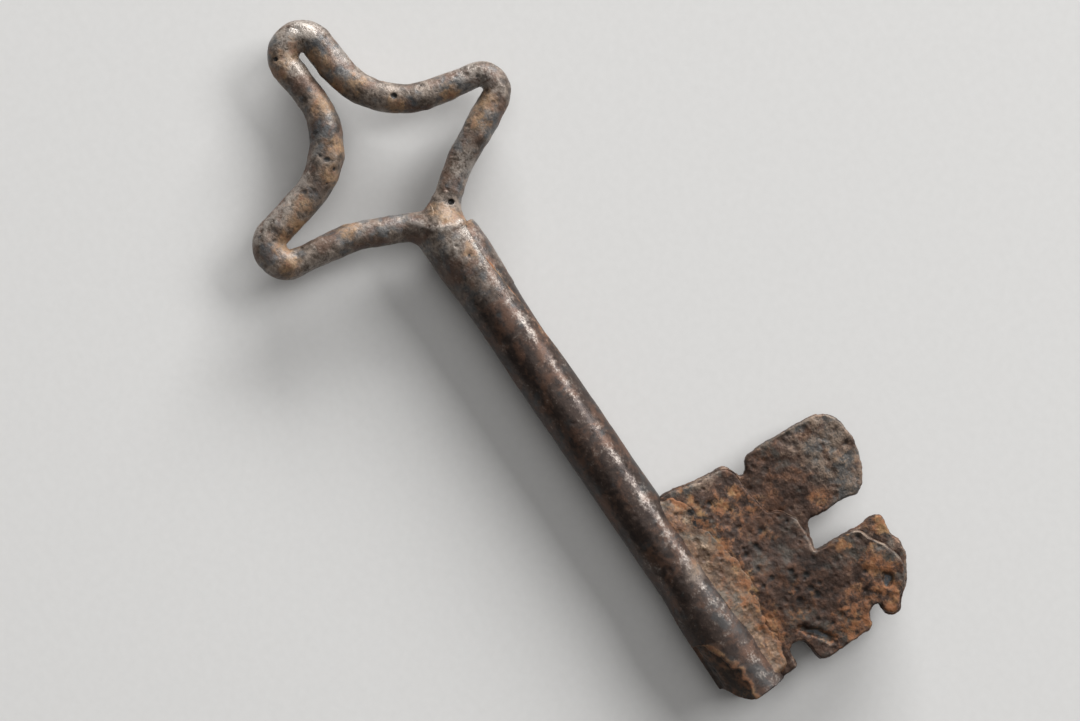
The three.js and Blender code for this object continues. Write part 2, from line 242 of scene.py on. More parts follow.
def stem_radius(x):
    """The stem's outer radius: wider at its top end, plain down to the bit, and swelling round the mouth."""
    return STEM_RADIUS + TOP_SWELL * (1.0 - rise(x / 17.0)) + MOUTH_SWELL * rise((x - 77.4) / 9.0)


def seam_angle(x):
    """The listed turns of the seam down the stem, each averaged with its neighbours."""
    return smoothed(through(x, SEAM_TURNS), 8)


def to_line(points, line, radius):
    """Distance to a bar: the least over places on its middle line of the distance less the radius."""
    least = np.full(len(points), 1e9)
    for (x, y), bar in zip(line, radius):
        away = np.sqrt((points[:, 0] - x) ** 2 + (points[:, 1] - y) ** 2 + points[:, 2] ** 2) - bar
        least = np.minimum(least, away)
    return least


# The bar's middle line, its free end carried on into the shoulder, and the two legs beside the stem
LINE_STEP = 0.25
FOOT_LENGTH = 4.2
LEFT_LEG = 26.0
RIGHT_LEG = 22.0
line_along, line_places, line_ahead = bar_line(LINE_STEP)
foot_along = np.arange(0.0, FOOT_LENGTH, LINE_STEP)
foot_line = line_places[-1] + foot_along[:, None] * line_ahead[-1]
left_leg = line_along < LEFT_LEG
right_leg = line_along > line_along[-1] - RIGHT_LEG


def skin_radius(x):
    """The stem's radius with its top end eased in to meet the shoulder."""
    return stem_radius(x) - 0.15 * (1.0 - rise(x / 4.0))


def dome_radius(degrees):
    """Radius of the shoulder by angle: level with the stem's skin, but drawn in beside the tucked edge."""
    drawn = rise((degrees - 43.5) / 4.0) * (1.0 - rise((degrees - 100.0) / 35.0))
    return TOP_RADIUS - 1.6 * drawn


def to_body(points):
    """Distance to the stem and its shoulder: radius less the stem's radius past the top end, and before it a
    superellipse of the way back and the radius."""
    x, y, z = points.T
    out = np.hypot(y, z)
    rim = dome_radius(np.degrees(np.arctan2(y, z)))
    back = np.maximum(-x, 0.0) / DOME_LENGTH
    dome = (back**DOME_POWER + (out / rim) ** DOME_POWER) ** (1.0 / DOME_POWER)
    return np.where(x < 0.0, (dome - 1.0) * rim, out - skin_radius(x))


def to_crotch(points):
    """Distance to the bow's foot: stem and shoulder, joined softly with the left leg, then the right."""
    body = to_body(points)
    left = to_line(points, line_places[left_leg], bar_radius(line_along[left_leg]))
    right = to_line(points, line_places[right_leg], bar_radius(line_along[right_leg]))
    foot = to_line(points, foot_line, 2.65 + 0.5 * rise(foot_along / 3.5))
    return join(join(body, left, 2.8), np.minimum(right, foot), 1.3)


def settled(points, outward, weight=1.0):
    """Points brought out along their normals to the soft joint of the bow's foot, except those that lie deep
    inside another part of it."""
    close = (points[:, 0] > -16.0) & (points[:, 0] < 14.0) & (np.abs(points[:, 1]) < 16.0)
    moved = points.copy()
    part = points[close]
    way = outward[close]
    depth = np.maximum(-to_crotch(part), 0.0)
    kept = depth * rise((depth - 0.9) / 0.7)
    share = (weight * np.ones(len(points)))[close]
    for _ in range(4):
        depth = np.maximum(-to_crotch(part), 0.0)
        part = part + way * (np.maximum(depth - kept, 0.0) * share)[:, None]
    moved[close] = part
    return moved


def worn(points, heavy, seed):
    """Relief of old iron in millimetres, and the same as a number round 0: broad hammer dimples, lumpy scale
    and corrosion bowls."""
    broad = cloud(points, 6.0, 2, seed)
    scale = cloud(points, 1.5, 3, seed + 31)
    crumbs = cloud(points, 0.7, 1, seed + 43)
    bowls = pits(points, 1.5, 0.45, seed + 57)
    height = 0.09 * broad + heavy * (0.1 * scale + 0.03 * crumbs - 0.2 * bowls)
    return height, np.clip(0.7 * scale + 0.3 * crumbs - 0.9 * bowls, -1.0, 1.0)


# Where the bow stands on the stem: the lit crest across the stem's top, rust at the weld, and a round pit
CREST = ((-6.2, -4.4), (-4.4, -3.2), (-2.9, -1.8), (-1.8, -0.6), (-1.1, 0.8), (-0.8, 2.2), (-0.7, 3.4))
FOOT_RUST = ((-3.1, 2.7), (-5.1, 0.9), (-1.6, 4.0), (-2.2, 3.2), (-3.6, 1.4))
FOOT_PIT = ((-5.0, 4.0),)
BOW_RELIEF = 0.55
STEM_RELIEF = 0.18


def foot_wear(points, heavy=BOW_RELIEF):
    """Relief and marks shared by the parts that meet at the bow's foot, so that they read as one skin."""
    height, lift = worn(points, heavy, 3)
    crest = near_line(points, CREST, 0.8)
    pit = rise((near(points, FOOT_PIT, 0.6) - 0.3) / 0.4)
    strewn = points + 0.3 * cloud(points, 0.8, 2, 73)[:, None]
    pinholes = pits(strewn, 1.0, 0.06, 71) * heavy / BOW_RELIEF
    height = height + 0.3 * crest - 0.8 * pit - 0.2 * pinholes
    foot_stain = near(points, FOOT_RUST, 2.0)
    marks = {
        "lift": lift,
        "rust": 0.4 * foot_stain + 0.6 * flecked(points, 1.2 * foot_stain, 15),
        "soot_and_shade": 1.4 * pit + 0.3 * pinholes,
        # Painted highlight along the lit crest
        "polish_and_painted_highlight": 0.7 * crest,
        "dry_and_lit": np.ones(len(points)),
    }
    return height, marks


def grid_faces(rows, columns, closed_rows=False):
    """Four-sided faces of a grid whose columns close into a ring, and whose rows may."""
    row = np.arange(rows if closed_rows else rows - 1)[:, None]
    column = np.arange(columns)[None, :]
    here = row * columns
    after = (row + 1) % rows * columns
    beside = (column + 1) % columns
    corners = (here + column, here + beside, after + beside, after + column)
    return np.stack([np.broadcast_to(corner, (len(row), columns)).ravel() for corner in corners], axis=1)


def capped(points, rows, columns):
    """Points and faces of a tube grid, with a fan to the middle of each end ring."""
    first = points[:columns].mean(axis=0)
    last = points[-columns:].mean(axis=0)
    column = np.arange(columns)
    beside = (column + 1) % columns
    end = (rows - 1) * columns
    near_fan = np.stack([beside, column, np.full(columns, rows * columns)], axis=1)
    far_fan = np.stack([end + column, end + beside, np.full(columns, rows * columns + 1)], axis=1)
    faces = grid_faces(rows, columns).tolist() + near_fan.tolist() + far_fan.tolist()
    return np.concatenate([points, [first], [last]]), faces


def add_piece(name, points, faces, finish, nodes, marks):
    """A named mesh at its place in the frame, its marks kept as numbers on its points, 0 where one ends."""
    mesh = bpy.data.meshes.new(name)
    metres = np.clip(points / 1000.0 + stem_top, box_low, box_high)
    mesh.from_pydata(metres.tolist(), [], faces)
    for mark, values in marks.items():
        whole = np.zeros(len(points))
        whole[: len(values)] = values
        mesh.attributes.new(mark, "FLOAT", "POINT").data.foreach_set("value", whole)
    mesh.shade_smooth()
    mesh.materials.append(finish)
    piece = bpy.data.objects.new(name, mesh)
    bpy.context.scene.collection.objects.link(piece)
    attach(piece, "root")
    if nodes:
        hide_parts(*nodes)


# Finishes


class Number:
    """A number that flows through the nodes: sums, differences and products of it are Math nodes."""

    def __init__(self, finish, socket):
        self.finish = finish
        self.socket = socket

    def maths(self, operation, first, second):
        """One Math node on two numbers."""
        node = self.finish.add("ShaderNodeMath", {"operation": operation}, {0: first, 1: second})
        return Number(self.finish, node.outputs[0])

    def __add__(self, other):
        return self.maths("ADD", self, other)

    __radd__ = __add__

    def __sub__(self, other):
        return self.maths("SUBTRACT", self, other)

    def __rsub__(self, other):
        return self.maths("SUBTRACT", other, self)

    def __mul__(self, other):
        return self.maths("MULTIPLY", self, other)

    __rmul__ = __mul__

    def most(self, other):
        """The greater of two numbers."""
        return self.maths("MAXIMUM", self, other)


class Finish:
    """A procedural material and the few node patterns that the key's finishes are made of."""

    def __init__(self, name):
        self.material = bpy.data.materials.new(name)
        self.material.use_nodes = True
        self.tree = self.material.node_tree
        self.shader = self.tree.nodes["Principled BSDF"]
        self.place = self.add("ShaderNodeTexCoord", {}, {}).outputs["Object"]

    def link(self, node, inputs):
        """Links or values put into a node's sockets."""
        for key, value in inputs.items():
            value = value.socket if isinstance(value, Number) else value
            if isinstance(value, bpy.types.NodeSocket):
                self.tree.links.new(value, node.inputs[key])
            else:
                node.inputs[key].default_value = value

    def add(self, kind, settings, inputs):
        """A node of a kind, with its settings first and then its sockets."""
        node = self.tree.nodes.new(kind)
        for key, value in settings.items():
            setattr(node, key, value)
        self.link(node, inputs)
        return node

    def noise(self, size, detail, rough, twist=0.0):
        """Noise from 0 to 1 whose largest lumps are so many millimetres across."""
        inputs = {"Vector": self.place, "Scale": 1000.0 / size, "Detail": detail}
        inputs.update({"Roughness": rough, "Distortion": twist})
        return Number(self, self.add("ShaderNodeTexNoise", {}, inputs).outputs[0])

    def mark(self, name):
        """A number kept on the piece's points."""
        node = self.add("ShaderNodeAttribute", {"attribute_name": name}, {})
        return Number(self, node.outputs["Fac"])

    def between(self, value, low, high):
        """0 at low and 1 at high, with an S-curve between."""
        settings = {"interpolation_type": "SMOOTHSTEP"}
        node = self.add("ShaderNodeMapRange", settings, {"Value": value, "From Min": low, "From Max": high})
        return Number(self, node.outputs[0])

    def mix(self, first, second, share):
        """One colour laid over another by a share."""
        first = (*first, 1.0) if isinstance(first, tuple) else first
        second = (*second, 1.0) if isinstance(second, tuple) else second
        node = self.add("ShaderNodeMix", {"data_type": "RGBA"}, {0: share, 6: first, 7: second})
        return node.outputs[2]


# Near-black of soot and pits, also laid on as painted shade
SOOT_AND_SHADE = (0.012, 0.010, 0.009)
UMBER = (0.104, 0.053, 0.033)
ORANGE = (0.215, 0.085, 0.034)
OCHRE = (0.31, 0.178, 0.080)
TAWNY = (0.196, 0.128, 0.076)
# Blue-grey scale, also used as a painted glint
BLUE_SCALE_AND_GLINT = (0.074, 0.081, 0.088)
DRY_DARK = (0.058, 0.042, 0.032)
DRY_STEEL = (0.282, 0.228, 0.186)
DRY_SLATE = (0.085, 0.094, 0.101)
BUMP_METRES = 0.0003


def old_iron(name, dark, steel, pale, slate, rusty, cover, rough, metal, relief, gloss):
    """Iron with a dark skin worn through to grey, brown stains, pale places that are partly rubbed and partly
    painted highlight, blue-grey scale that is partly a painted glint, rust, and sooty pits and painted shade.
    """
    finish = Finish(name)
    lift = finish.mark("lift")
    rust_mark = finish.mark("rust")
    soot_and_shade_mark = finish.mark("soot_and_shade")
    # Real polish, and painted highlights on the lit crest, bright bow places, stem and leaf edges: lowers the
    # roughness and lightens the colour
    polish_and_painted_highlight = finish.mark("polish_and_painted_highlight")
    # Dry, matt iron on the bow and stem top, and a lighter dry palette painted on the bit's lit edges and lit
    # tip as highlight
    dry_and_lit = finish.mark("dry_and_lit")
    cool_tone_and_glint = finish.mark("cool_tone_and_glint")
    matt = finish.mark("matt")
    broad = finish.noise(9.0, 2.0, 0.5)
    blotch = finish.noise(3.6, 2.0, 0.5, 0.4)
    grain = finish.noise(1.2, 4.0, 0.62, 0.2)
    fleck = finish.noise(0.42, 3.0, 0.6)
    grit = finish.noise(0.9, 3.0, 0.6)
    stain = finish.noise(4.8, 3.0, 0.55, 0.6)
    tint = finish.noise(2.2, 3.0, 0.55)

    skin = finish.between(blotch * 0.35 + grain * 0.4 + fleck * 0.15 + broad * 0.1 + lift * 0.03, 0.38, 0.62)
    colour = finish.mix(finish.mix(dark, steel, skin), finish.mix(DRY_DARK, DRY_STEEL, skin), dry_and_lit)
    cool = finish.between(broad * 0.5 + tint * 0.5 + cool_tone_and_glint * 0.12, 0.50, 0.60)
    colour = finish.mix(colour, finish.mix(slate, DRY_SLATE, dry_and_lit), cool * 0.7)
    brown = finish.between(stain * 0.7 + grain * 0.3 - lift * 0.01, 0.47, 0.62)
    colour = finish.mix(colour, UMBER, brown * 0.7)
    halo = finish.between(rust_mark * 0.4 + stain * 0.25 + grain * 0.25 + fleck * 0.1, 0.38, 0.72)
    colour = finish.mix(colour, TAWNY, halo * (0.25 + 0.25 * dry_and_lit))
    # Blue scale where the cool mark is strong: slate patches, and a painted blue-grey glint in the bit's
    # hollows and on its lit edges
    colour = finish.mix(colour, BLUE_SCALE_AND_GLINT, finish.between(cool_tone_and_glint + fleck * 0.6, 1.3, 1.75))
    # Pale overlay: random worn-through grey, plus painted highlight where the highlight mark is set
    wear_and_highlight_level = grain * 0.4 + blotch * 0.25 + fleck * 0.35 + lift * 0.06 + polish_and_painted_highlight * 0.2 + dry_and_lit * 0.03
    wear_and_painted_highlight = finish.between(wear_and_highlight_level, 0.555, 0.715)
    colour = finish.mix(colour, pale, wear_and_painted_highlight * 0.65)
    blistered = stain * 0.28 + grain * 0.4 + fleck * 0.32 + rust_mark * 0.2
    bloom = finish.between(blistered, 0.59 - rusty, 0.80 - rusty)
    rust = finish.mix(ORANGE, OCHRE, finish.between(tint + 0.12 * dry_and_lit, 0.48, 0.70))
    colour = finish.mix(colour, rust, bloom * cover)
    grime = 1.0 - finish.between(fleck * 0.5 + grit * 0.5, 0.36, 0.44)
    colour = finish.mix(colour, SOOT_AND_SHADE, grime * 0.45)
    # Near-black from the soot mark: pits, holes and other real dark marks, and painted shade on the bow's
    # left limb
    black = finish.between(soot_and_shade_mark + fleck * 0.4 + grain * 0.1 - lift * 0.2, 0.38, 0.72)
    colour = finish.mix(colour, SOOT_AND_SHADE, black)

    dull = bloom.most(black).most(brown * 0.5)
    roughness = rough + 0.16 * grain + 0.18 * dull - 0.1 * polish_and_painted_highlight - 0.06 * wear_and_painted_highlight + 0.17 * matt + 0.06 * dry_and_lit
    metallic = metal * (1.0 - 0.9 * bloom.most(black)) * (1.0 - 0.5 * dry_and_lit)
    height = (grain * 0.7 + fleck * 0.4) * (relief + 0.6 * dry_and_lit)
    bump = finish.add("ShaderNodeBump", {}, {"Strength": 1.0, "Distance": BUMP_METRES, "Height": height})
    finish.link(finish.shader, {"Base Color": colour, "Roughness": roughness, "Metallic": metallic})
    finish.link(finish.shader, {"Normal": bump.outputs[0], "Specular IOR Level": gloss})
    return finish.material


smooth_iron = old_iron(
    "smooth_iron", dark=(0.025, 0.0165, 0.0135), steel=(0.063, 0.042, 0.033), pale=(0.28, 0.252, 0.225),
    slate=(0.042, 0.042, 0.042), rusty=0.01, cover=0.6, rough=0.30, metal=0.5, relief=0.2, gloss=0.5)
scaly_iron = old_iron(
    "scaly_iron", dark=(0.024, 0.0145, 0.011), steel=(0.080, 0.047, 0.034), pale=(0.225, 0.166, 0.122),
    slate=(0.075, 0.068, 0.058), rusty=0.055, cover=0.8, rough=0.44, metal=0.3, relief=0.8, gloss=0.25)
filler = old_iron(
    "root_filler", dark=(0.067, 0.039, 0.025), steel=(0.172, 0.112, 0.071), pale=(0.39, 0.30, 0.21),
    slate=(0.098, 0.084, 0.067), rusty=0.10, cover=0.8, rough=0.44, metal=0.15, relief=0.8, gloss=0.3)


# Bow

BAR_STEP = 0.18
BAR_COLUMNS = 96
END_LENGTH = 2.0
WELD_COLUMNS = 88
SHOULDER_COLUMNS = 150
# Rings of the tang after the shoulder's dome: the way down the stem, and the share of the shoulder's radius
TANG_RINGS = ((0.6, 0.97), (0.62, 0.5), (15.0, 0.5), (16.0, 0.34))

# Places on the shown face of the bar
BOW_RUST = (
    (-44.8, -4.1), (-44.7, -7.2), (-41.9, -2.5), (-34.9, -1.6), (-33.6, -5.4), (-25.6, -8.6), (-16.2, -25.9),
    (-17.8, -22.3), (-11.7, -27.6), (-11.6, -14.7), (-15.1, 16.8), (-20.2, -19.1), (-26.0, 5.1),
    (-40.3, -2.1), (-43.8, -9.2), (-22.1, -11.9), (-17.1, 19.7), (-21.6, 15.1), (-33.4, 1.5),
)
# Painted highlights on the bar: its lit top tip and other bright places, and a bright strip along the lower
# left limb's outer edge
BOW_PAINTED_HIGHLIGHTS = (
    (-44.0, -6.0), (-48.5, -0.8), (-47.0, -3.4), (-46.4, 0.6), (-40.5, 4.4), (-24.8, 20.0), (-20.2, 21.6),
    (-9.0, 10.5), (-8.0, -27.5),
)
BOW_HIGHLIGHT_STRIP = ((-19.6, -30.2), (-20.7, -28.8), (-21.8, -23.7), (-23.2, -18.4), (-25.8, -14.0))
BOW_LUMPS = ((-23.6, -8.2), (-13.0, -14.8), (-28.5, -6.8), (-36.8, 12.4), (-12.2, 15.4))
# Painted shade, mostly on the lower half of the left limb, which faces away from the light
BOW_PAINTED_SHADE = ((-29.0, -8.5), (-24.0, -11.0), (-21.0, -16.5), (-18.0, 20.0))
BOW_SLATE = (
    (-42.5, -0.6), (-36.6, 0.5), (-25.7, 9.0), (-23.0, 18.6), (-12.9, 17.5), (-30.0, -8.5), (-20.5, -18.1),
    (-16.6, -29.0), (-9.5, -12.2), (-8.3, -8.5), (-33.6, -3.6),
)
BOW_HOLE = ((-27.5, 6.3),)
SMALL_HOLE = ((-45.6, -8.2),)
BOW_DENT = ((-48.0, -1.8),)
BOW_SCARS = ((-9.1, -22.1), (-48.0, -1.8))


def rings(line, ahead, radius, columns):
    """Rings of points square to a level line, each of the radius given there, and the way outward at each."""
    angle = np.linspace(0.0, 2.0 * np.pi, columns, endpoint=False)[None, :, None]
    across = np.stack([-ahead[:, 1], ahead[:, 0], np.zeros(len(line))], axis=1)
    outward = across[:, None, :] * np.cos(angle) + np.array([0.0, 0.0, 1.0]) * np.sin(angle)
    centre = np.concatenate([line, np.zeros((len(line), 1))], axis=1)
    points = centre[:, None, :] + outward * radius[:, None, None]
    return points.reshape(-1, 3), outward.reshape(-1, 3)


def turned(x, out, angle):
    """Points at a way down the stem, a distance from its middle line, and an angle from the front towards the
    bit: x, the distance times the sine, and the distance times the cosine."""
    x, out, angle = np.broadcast_arrays(x, out, angle)
    return np.stack([x, out * np.sin(angle), out * np.cos(angle)], axis=-1).reshape(-1, 3)


def bar_piece():
    """The bow's bar: rings of the bar's radius square to its middle line, closing to a round end at each end,
    settled into the foot and roughened along the normals."""
    along, line, ahead = bar_line(BAR_STEP)
    ends = np.clip(np.minimum(along + 0.05, along[-1] + 0.05 - along) / END_LENGTH, 0.0, 1.0)
    radius = smoothed(bar_radius(along), 9) * np.sqrt(1.0 - (1.0 - ends) ** 2)
    points, outward = rings(line, ahead, radius, BAR_COLUMNS)
    points = settled(points, outward)
    height, marks = foot_wear(points)
    holes = np.maximum(near(points, BOW_HOLE, 0.5), near(points, SMALL_HOLE, 0.38))
    # Real scars, plus painted highlights on the bar's bright places and along its bright strip
    scars = near(points, BOW_SCARS, 1.1) + 2.0 * near(points, BOW_PAINTED_HIGHLIGHTS, 3.0)
    scars = scars + 2.2 * near_line(points, BOW_HIGHLIGHT_STRIP, 1.0)
    stained = near(points, BOW_RUST, 2.5)
    marks["rust"] = np.maximum(marks["rust"], 0.5 * stained + 0.7 * flecked(points, 1.2 * stained, 27))
    # Soot with painted shade on the left limb, and the holes
    marks["soot_and_shade"] = marks["soot_and_shade"] + 0.2 * near(points, BOW_PAINTED_SHADE, 4.5) + 1.3 * holes
    marks["polish_and_painted_highlight"] = marks["polish_and_painted_highlight"] + 0.4 * scars
    marks["cool_tone_and_glint"] = near(points, BOW_SLATE, 1.9)
    lumps = 0.1 * cloud(points, 3.0, 2, 97) + 0.3 * near(points, BOW_LUMPS, 1.5)
    height = height + lumps - 0.55 * holes - 0.2 * near(points, BOW_DENT, 0.8)
    points, faces = capped(points + outward * height[:, None], len(along), BAR_COLUMNS)
    add_piece("bow_bar", points, faces, smooth_iron, ["bow_rod"], marks)


def foot_piece():
    """The weld at the bar's free end: rings that widen as they go on from the bar into the shoulder."""
    along = np.arange(-3.0, FOOT_LENGTH, 0.15)
    radius = 2.6 + 0.5 * rise(along / 3.0) - 0.6 * rise((-1.0 - along) / 2.0)
    ahead = np.tile(line_ahead[-1], (len(along), 1))
    points, outward = rings(line_places[-1] + along[:, None] * ahead, ahead, radius, WELD_COLUMNS)
    points = settled(points, outward, np.repeat(rise((along + 1.5) / 1.5), WELD_COLUMNS))
    height, marks = foot_wear(points)
    points, faces = capped(points + outward * height[:, None], len(along), WELD_COLUMNS)
    add_piece("bow_foot", points, faces, smooth_iron, ["bow_foot_weld"], marks)


def shoulder_piece():
    """The shoulder: a superellipse turned about the stem's middle line, and a straight tang down the bore."""
    turn = np.pi / 2.0 - np.concatenate([np.linspace(1.55, 0.036, 43), [0.002, 0.0]])
    tang_x, tang_out = np.array(TANG_RINGS).T
    back = np.concatenate([-DOME_LENGTH * np.cos(turn) ** (2 / DOME_POWER), tang_x])
    out = np.concatenate([np.sin(turn) ** (2 / DOME_POWER), tang_out])
    degrees = np.linspace(0.0, 360.0, SHOULDER_COLUMNS, endpoint=False)
    signed = np.where(degrees > 180.0, degrees - 360.0, degrees)
    rim = np.where(back[:, None] > TANG_RINGS[0][0], TOP_RADIUS, dome_radius(signed)[None, :])
    points = turned(back[:, None], out[:, None] * rim, np.radians(degrees)[None, :])
    slope = points * np.array([0.9, 1.0, 1.0])
    normal = slope / np.linalg.norm(slope, axis=1)[:, None]
    shown = np.repeat(back < 0.01, SHOULDER_COLUMNS)
    points = np.where(shown[:, None], settled(points, normal), points)
    height, marks = foot_wear(points)
    points, faces = capped(points + normal * (height * shown)[:, None], len(back), SHOULDER_COLUMNS)
    add_piece("bow_shoulder", points, faces, smooth_iron, [], marks)


# Stem

ROW_STEP = 0.22
MOUTH_START = 92.0
LOST_SKIN = 0.62
SEAM_COLUMNS = 14
# The rim of the lost skin: y by the way down the stem
SKIN_RIM = ((88.6, -9.0), (89.2, -6.2), (90.1, -3.4), (92.0, -2.6), (94.1, -1.6), (97.1, -1.0), (101.7, -0.9))
# Where the stem ends, by y
MOUTH_ENDS = ((-6.2, 98.2), (-3.9, 101.7), (-2.3, 103.1), (-1.0, 103.45), (6.0, 103.5))
# Rings over the rim at the mouth: the share of the sheet's thickness, and the push past the end
RIM_RINGS = ((0.12, 0.1), (0.5, 0.12), (0.88, 0.08))
# Places on the shown face of the stem: a pit with an ochre ring round it, a lump, and a brown smear
OCHRE_PIT = ((5.2, 1.2),)
OCHRE_RING = ((5.2, 1.2), (4.3, 2.0))
STEM_LUMP = ((5.5, -3.6),)
SMEAR = ((76.4, 3.6), (77.8, 2.6))

# Columns round the stem: degrees on from the sheet's outer edge, and the fall down that edge at the last ones
ROUND_COLUMNS = 158
EDGE_FALL = (0.22, 0.45, 0.68, 0.9)
turn_row = np.append(np.linspace(0.0, 360.0, ROUND_COLUMNS), np.full(len(EDGE_FALL), 360.0))
fall_row = np.append(np.zeros(ROUND_COLUMNS), EDGE_FALL)
first_half = turn_row < 180.0
stem_columns = len(turn_row)


def skin_break(points):
    """How far points lie past the jagged rim of the lost skin by the mouth, on the shown face away from the
    bit: the rim's y with lumpy noise, less the point's y."""
    rim = through(points[:, 0], SKIN_RIM)
    jag = cloud(points * np.array([1.0, 1.0, 0.0]), 1.6, 3, 77)
    return np.where(points[:, 2] > 0.3, rim + 0.6 * jag - points[:, 1], -1.0)


def rolled_sheet(rows_x, under):
    """The sheet's smooth outside by row and column: x, radius and angle. The radius is the skin's less the
    step of the seam at the tucked edge, the thinning of the outer edge and a dent away from the bit."""
    x = rows_x[:, None] - 0.5 * under * (1.0 - rise(rows_x / 2.0))[:, None]
    wander = ripple(rows_x, 4.0, 2, 41)
    degrees = (seam_angle(rows_x) + 1.6 * wander)[:, None] + turn_row - 4.0 * fall_row
    step = through(rows_x, SEAM_STEP)[:, None]
    tucked = step * (1.0 - rise(turn_row / 65.0)) * first_half + step * fall_row
    thinned = 0.14 * np.clip(1.0 - (360.0 - turn_row) / 3.0, 0.0, 1.0) ** 2 * (fall_row == 0.0)
    signed = (degrees + 62.0 + 180.0) % 360.0 - 180.0
    dent = 0.6 * np.exp(-(((x - 78.0) / 3.4) ** 2) - (signed / 28.0) ** 2)
    return x, skin_radius(x) - tucked - thinned - dent, np.radians(degrees)


def stem_wear(flat, turn, row_x):
    """Relief and marks of the stem's outside, by its points, their degrees on from the sheet's outer edge and
    the way down of their rows: lost skin, scars, the seam's rust, painted highlights along the stem's lit
    side, the sheet's outer edge, the top's front and the mouth's swell, and dull and dry places."""
    x, y, z = flat.T
    past = skin_break(flat)
    gone = rise(past / 0.3) * rise((z - 0.3) / 0.7)
    lip = bell(past, -0.45, 0.6) * (x > 88.0) * rise(z)
    height, marks = foot_wear(flat, STEM_RELIEF + (BOW_RELIEF - STEM_RELIEF) * (1.0 - rise(x / 8.0)))
    scars = pits(flat * np.array([1.0, 1.6, 1.6]), 2.2, 0.5, 9) * bell(x, 78.5, 5.0) * bell(y, -2.6, 2.2)
    height = height - LOST_SKIN * gone + 0.12 * lip - 0.3 * scars * rise(z)
    height = height - 0.3 * near(flat, OCHRE_PIT, 0.75) + 0.15 * near(flat, STEM_LUMP, 0.55)
    height = height + gone * 0.12 * cloud(flat, 0.9, 3, 19)

    outer_edge = bell(turn, 364.0, 9.0 + 11.0 * rise((x - 12.0) / 14.0))
    seam_rust = np.maximum(outer_edge, bell(turn, 0.0, 12.0)) * rise((x - 7.0) / 4.0)
    seam_rust = seam_rust * (1.0 - rise((x - 29.0) / 10.0))
    ochre_ring = flecked(flat, near(flat, OCHRE_RING, 1.9), 37)
    smear = near(flat, SMEAR, 1.5)
    beyond_seam = (1.0 - rise((turn - 4.0) / 60.0)) * (turn < 180.0)
    rust = np.maximum.reduce([0.85 * seam_rust, marks["rust"], ochre_ring, 0.6 * gone, 1.3 * lip])
    rust = rust + flecked(flat, 0.6 * smear, 39)
    marks["rust"] = rust + 0.25 * beyond_seam * (1.0 - rise((x - 45.0) / 15.0))
    soot_and_shade = marks["soot_and_shade"] + 0.2 * gone * rise(past / 1.2) + 0.3 * scars
    marks["soot_and_shade"] = soot_and_shade + 0.5 * near(flat, OCHRE_PIT, 0.4)

    # Painted highlights: along the sheet's outer edge at the top, in a band down the stem's lit side, on the
    # mouth's swell and on the top's front
    seam_edge_highlight = bell(turn, 355.0, 5.0) * (1.0 - rise(row_x / 9.0))
    swell = bell(x, 86.0, 6.5) * bell(y, 3.0, 2.2)
    wear_and_painted_highlight = bell(y, 2.6, 1.4) * rise(z) * rise((x - 3.0) / 5.0)
    wear_and_painted_highlight = wear_and_painted_highlight * np.clip(0.75 + 0.5 * cloud(flat, 4.0, 3, 83), 0.0, 1.0)
    top_front_highlight = bell(x, 2.6, 4.2) * rise(z / 3.0)
    polish_and_painted_highlight = marks["polish_and_painted_highlight"] + 0.8 * seam_edge_highlight + np.maximum(0.35 * swell, 0.5 * wear_and_painted_highlight)
    marks["polish_and_painted_highlight"] = polish_and_painted_highlight + 0.35 * top_front_highlight - 0.3 * gone - 0.6 * smear
    marks["matt"] = rise((x - 79.5) / 5.0) + smear
    dry_and_lit = 1.0 - 0.3 * rise(x / 3.0) - 0.7 * rise((x - 3.0) / 18.0) + 0.7 * smear
    marks["dry_and_lit"] = dry_and_lit * (1.0 - 0.9 * beyond_seam)
    return height, marks


def stem_bore(last, end_angle, top_angle):
    """Rings over the rim and up the bore, and how much darker they are made, more so deeper into the bore. A
    ring of the bore has the stem's radius less the sheet, and stays inside the wall at the mouth. The top
    ring takes the angles of the first outside."""
    outward = turned(0.0, 1.0, end_angle)
    rim = [last - outward * SHEET * part + np.array([push, 0.0, 0.0]) for part, push in RIM_RINGS]
    share = np.concatenate([[1.0, 0.985, 0.96], np.linspace(0.93, 0.0, 40)])
    out = stem_radius(share * 100.0) - SHEET - 0.3 * bell(share, 1.0, 0.01)
    inside = out[:, None] - 0.35 * (1.0 - rise(turn_row / 50.0)) * first_half
    wall = np.linalg.norm(last[:, 1:], axis=1) - SHEET
    inside = np.minimum(inside, wall + 4.0 * (1.0 - share[:, None]))
    bore = turned(last[:, 0] * share[:, None], inside, end_angle)
    bore[-stem_columns:] = turned(0.02, out[-1], top_angle)
    bore_darkening = np.repeat(0.25 + 0.3 * rise((1.0 - share) / 0.15), stem_columns)
    return np.concatenate(rim + [bore]), np.concatenate([np.zeros(len(rim) * stem_columns), bore_darkening])


